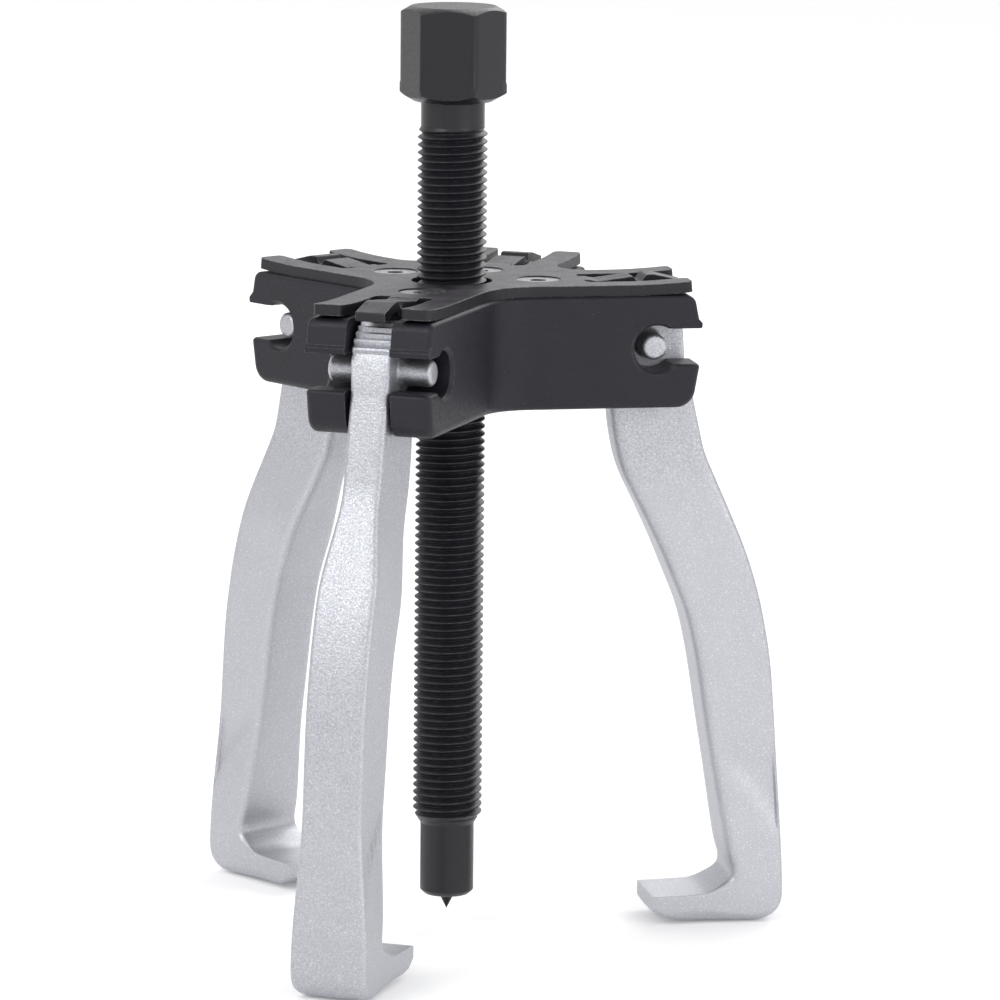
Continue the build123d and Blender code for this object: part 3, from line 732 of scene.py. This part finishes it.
def leg_body():
    bm = bmesh.new()
    peel = bm.verts.layers.float.new("peel")
    loops = []
    for index, (outer, inner) in enumerate(sections):
        ring = section_ring(outer, inner, index < teeth_rows, index / (len(sections) - 1))
        if index == 0:
            verts = [bm.verts.new((0, 0, 0)) for _ in ring]
            edges = [bm.edges.new((a, b)) for a, b in zip(verts, verts[1:] + verts[:1])]
        else:
            grown = bmesh.ops.extrude_edge_only(bm, edges=edges)["geom"]
            new = {v for v in grown if isinstance(v, bmesh.types.BMVert)}
            verts = [next(e.other_vert(v) for e in v.link_edges if e.other_vert(v) in new) for v in verts]
            edges = [bm.edges.get((a, b)) for a, b in zip(verts, verts[1:] + verts[:1])]
        for vert, (x, reach, height, facing_out) in zip(verts, ring):
            vert.co = (x, -reach, height)
            on_neck = step_between(100.0, 116.0, height)
            vert[peel] = SIDE_PEEL + (1.0 - SIDE_PEEL) * max(facing_out * outer_peel(height), on_neck)
        loops.append(list(verts))
    for loop in (loops[0], loops[-1]):
        bmesh.ops.contextual_create(bm, geom=loop)
    return bm


# %% [markdown]
# The trunnions are the two round pins on which the leg swings.  They are one turned shape
# across the leg, flared at the root and rounded at the ends, so a lathe profile makes them.

# %% Trunnions, joined to the leg
PIN_RADIUS, PIN_HALF, PIN_END_ROUND, PIN_ROOT_FLARE = 3.4, 13.75, 1.3, 0.9
PIN_ARC = 5  # faces along the rounding and along the flare


def trunnion_pin():
    quarter = [pi / 2 * i / PIN_ARC for i in range(PIN_ARC + 1)]
    half = [(0, PIN_HALF)]
    for a in quarter:
        half.append((PIN_RADIUS - PIN_END_ROUND * (1 - sin(a)), PIN_HALF - PIN_END_ROUND * (1 - cos(a))))
    for a in quarter:
        half.append((PIN_RADIUS + PIN_ROOT_FLARE * (1 - cos(a)), NECK_HALF + PIN_ROOT_FLARE * (1 - sin(a))))
    profile = half + [(radius, -x) for radius, x in reversed(half)]
    bm = lathe(profile, 40)
    bmesh.ops.rotate(bm, cent=(0, 0, 0), matrix=Matrix.Rotation(pi / 2, 3, "Y"), verts=bm.verts)
    bmesh.ops.translate(bm, vec=trunnion_at, verts=bm.verts)
    peel = bm.verts.layers.float.new("peel")
    for vert in bm.verts:
        vert[peel] = 1.0
    return bm


leg_mesh = combine(leg_body(), trunnion_pin(), "UNION")
peel_layer = leg_mesh.verts.layers.float.get("peel")
print("leg faces", len(leg_mesh.faces), "keeps its peel layer", peel_layer is not None)

# %% [markdown]
# The three legs are alike, so one finished mesh is copied and turned about the screw for each.
# The turn goes into the mesh, because a finished object has to sit at the origin unturned.

# %% One leg for each of the three arms
LEG_TURNS = {"front": 0.0, "right": 120.0, "left": 240.0}
for arm, turn in LEG_TURNS.items():
    copy = leg_mesh.copy()
    bmesh.ops.rotate(
        copy, cent=(0, 0, 0), matrix=Matrix.Rotation(radians(turn), 3, "Z"), verts=copy.verts
    )
    leg = to_object(copy, "hook_leg_" + arm, ZINC)
    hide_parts("leg_" + arm)
    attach(leg, arm + "_leg")
leg_mesh.free()
print("legs on arms", list(LEG_TURNS))

# %% [markdown]
# ## The forcing screw
#
# The thread is a real helix.  One tooth of the profile is spun round the axis and lifted by
# one pitch each turn, which is what a screw-cutting lathe does.  The radius is then held
# between two limits near each end, so the thread fades into the plain nose and the neck.

# %% Thread by spin and lift
PITCH, CREST_RADIUS, ROOT_RADIUS = 2.0, 9.0, 7.85
NOSE_RADIUS, NOSE_TOP, RUNOUT = 7.0, 18.0, 3.0
NECK_RADIUS, NECK_START, NECK_TOP = 8.2, 201.15, 207.5
TURN_STEPS = 48
HEX_TURN = 13.0  # degrees by which the screw stands turned
CREST_SOFT = 0.12  # the rolled crest and root are this much rounded


def thread_tooth(bottom):
    """One pitch of the rolled thread: rounded root, flank, rounded crest, flank."""
    rise = [
        (ROOT_RADIUS, 0.0),
        (ROOT_RADIUS + CREST_SOFT, 0.16),
        (CREST_RADIUS - CREST_SOFT, 0.78),
        (CREST_RADIUS, 0.90),
    ]
    marks = rise + [(radius, PITCH - z) for radius, z in reversed(rise)]
    return [(radius, bottom + z) for radius, z in marks]


def threaded_rod():
    bm = bmesh.new()
    start = NOSE_TOP - 2 * PITCH
    turns = int((NECK_START - start) / PITCH) + 2
    verts = [bm.verts.new((radius, 0, z)) for radius, z in thread_tooth(start)]
    edges = [bm.edges.new(pair) for pair in zip(verts, verts[1:])]
    bmesh.ops.spin(
        bm, geom=verts + edges, cent=(0, 0, 0), axis=(0, 0, 1), dvec=(0, 0, PITCH / TURN_STEPS),
        angle=2 * pi, steps=TURN_STEPS,
    )
    one_turn = bm.verts[:] + bm.edges[:] + bm.faces[:]
    for index in range(1, turns):
        copy = bmesh.ops.duplicate(bm, geom=one_turn)["geom"]
        lifted = [v for v in copy if isinstance(v, bmesh.types.BMVert)]
        bmesh.ops.translate(bm, vec=(0, 0, index * PITCH), verts=lifted)
    bmesh.ops.remove_doubles(bm, verts=bm.verts, dist=0.01)
    bmesh.ops.rotate(
        bm, cent=(0, 0, 0), matrix=Matrix.Rotation(radians(HEX_TURN), 3, "Z"), verts=bm.verts
    )
    for vert in bm.verts:
        radius = vert.co.xy.length
        low_limit = NOSE_RADIUS + max(vert.co.z - NOSE_TOP, 0.0) * (CREST_RADIUS - NOSE_RADIUS) / RUNOUT
        fade = step_between(NECK_START - PITCH, NECK_START, vert.co.z)
        held = min(radius, low_limit)
        held += (NECK_RADIUS - held) * fade
        vert.co.xy *= held / radius
    for height, side in ((NOSE_TOP, -1), (NECK_START, 1)):
        bmesh.ops.bisect_plane(
            bm, geom=bm.verts[:] + bm.edges[:] + bm.faces[:], plane_co=(0, 0, height),
            plane_no=(0, 0, side), clear_outer=True,
        )
    return bm


def grow(bm, edges, radius, height):
    """Extrude a ring of edges; radius and height are numbers, or functions of a point's angle."""
    grown = bmesh.ops.extrude_edge_only(bm, edges=edges)["geom"]
    for vert in (v for v in grown if isinstance(v, bmesh.types.BMVert)):
        angle = atan2(vert.co.y, vert.co.x)
        vert.co.xy = vert.co.xy.normalized() * (radius(angle) if callable(radius) else radius)
        vert.co.z = height(angle) if callable(height) else height
    return [e for e in grown if isinstance(e, bmesh.types.BMEdge)]


def ring_at(bm, height):
    return [
        e for e in bm.edges if e.is_boundary and all(abs(v.co.z - height) < 0.001 for v in e.verts)
    ]


# %% [markdown]
# The plain nose grows down from the last ring of the thread, turns in over its chamfer and goes
# up again as the wall of the hole for the centre point.  Growing it ring by ring keeps the whole
# screw one closed surface without any Boolean.

# %% Plain nose with the hole for the centre point
POINT_HOLE, POINT_DEPTH = 2.25, 12.05
NOSE_END, NOSE_CHAMFER, NOSE_FACE = -1.0, 0.9, 1.3
HOLE_CHAMFER = 0.3
EASE = 0.3  # a ring this close to a corner keeps the shading on both sides clean
rod = threaded_rod()
ring = ring_at(rod, NOSE_TOP)
for radius, height in (
    (NOSE_RADIUS, NOSE_TOP - EASE), (NOSE_RADIUS, 0.15), (NOSE_RADIUS - 0.1, 0.0),
    (NOSE_RADIUS - NOSE_CHAMFER, -0.8), (NOSE_RADIUS - 1.1, -0.95), (NOSE_RADIUS - NOSE_FACE, NOSE_END),
    (POINT_HOLE + HOLE_CHAMFER, NOSE_END), (POINT_HOLE, NOSE_END + HOLE_CHAMFER),
    (POINT_HOLE, NOSE_END + POINT_DEPTH),
):
    ring = grow(rod, ring, radius, height)
bmesh.ops.contextual_create(rod, geom=ring)
print("thread and nose faces", len(rod.faces))

# %% [markdown]
# The hexagon grows out of the neck in the same way.  At each angle its outline is a known
# distance from the axis, and the cone that chamfers the top meets it at a known height, so
# the curved chamfer edges come out by themselves.  Above a low collar the corners are bevelled,
# as they are on a bar that was turned down a little.

# %% Neck and hexagon
HEX_FLATS, HEX_TOP = 24.0, 231.8
COLLAR_TOP = NECK_TOP + 5.0
CHAMFER_SLOPE = tan(radians(30))
TOP_RADIUS, FOOT_RADIUS = 11.0, 10.2
CORNER_BEVEL = 0.7


def hexagon_radius(angle):
    """Distance of the hexagon's outline from the axis."""
    from_corner = (angle - radians(HEX_TURN)) % (pi / 3)
    return HEX_FLATS / 2 / cos(from_corner - pi / 6)


def chamfer_height(angle):
    return HEX_TOP - (hexagon_radius(angle) - TOP_RADIUS) * CHAMFER_SLOPE


def foot_height(angle):
    return NECK_TOP + (hexagon_radius(angle) - FOOT_RADIUS) * CHAMFER_SLOPE


ring = ring_at(rod, NECK_START)
for radius, height in (
    (NECK_RADIUS, NECK_START + EASE), (NECK_RADIUS, NECK_TOP - 0.4), (NECK_RADIUS + 0.4, NECK_TOP),
    (FOOT_RADIUS, NECK_TOP), (hexagon_radius, foot_height), (hexagon_radius, COLLAR_TOP),
    (hexagon_radius, chamfer_height), (TOP_RADIUS, HEX_TOP), (TOP_RADIUS - 0.5, HEX_TOP),
    (TOP_RADIUS / 2, HEX_TOP),
):
    ring = grow(rod, ring, radius, height)
bmesh.ops.contextual_create(rod, geom=ring)
CORNER_RADIUS = HEX_FLATS / 2 / cos(pi / 6)
corner_edges = [
    e
    for e in rod.edges
    if all(v.co.xy.length > CORNER_RADIUS - 0.01 for v in e.verts)
    and min(v.co.z for v in e.verts) > COLLAR_TOP - 0.01
]
bmesh.ops.bevel(
    rod, geom=corner_edges, offset=CORNER_BEVEL, offset_type="OFFSET", segments=2, profile=0.5,
    affect="EDGES", material=-1,
)
print("forcing screw faces", len(rod.faces), "corner edges bevelled", len(corner_edges))
spindle = to_object(rod, "forcing_screw", THREAD_OXIDE)
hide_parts("spindle")
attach(spindle, "screw")


# %% [markdown]
# ## Finishes on the carried-over CAD pieces
#
# The head, its cover plate, the cover screws and the point keep their CAD shape, because it
# already has their forged and stamped outlines.  They only get their finishes, and the finish
# of the head and of the plate also softens their edges.

# %% Give the CAD nodes their finishes
CAD_FINISHES = {"head_body": PHOSPHATE, "cover_plate": SPRING_STEEL, "centre_point": POINT_STEEL}
for arm in ("front", "right", "back", "left"):
    CAD_FINISHES["cover_screw_" + arm] = SCREW_ZINC
for node, material in CAD_FINISHES.items():
    slots = frame["nodes"][node].data.materials
    slots.clear()
    slots.append(material)
print("finished CAD nodes", list(CAD_FINISHES))
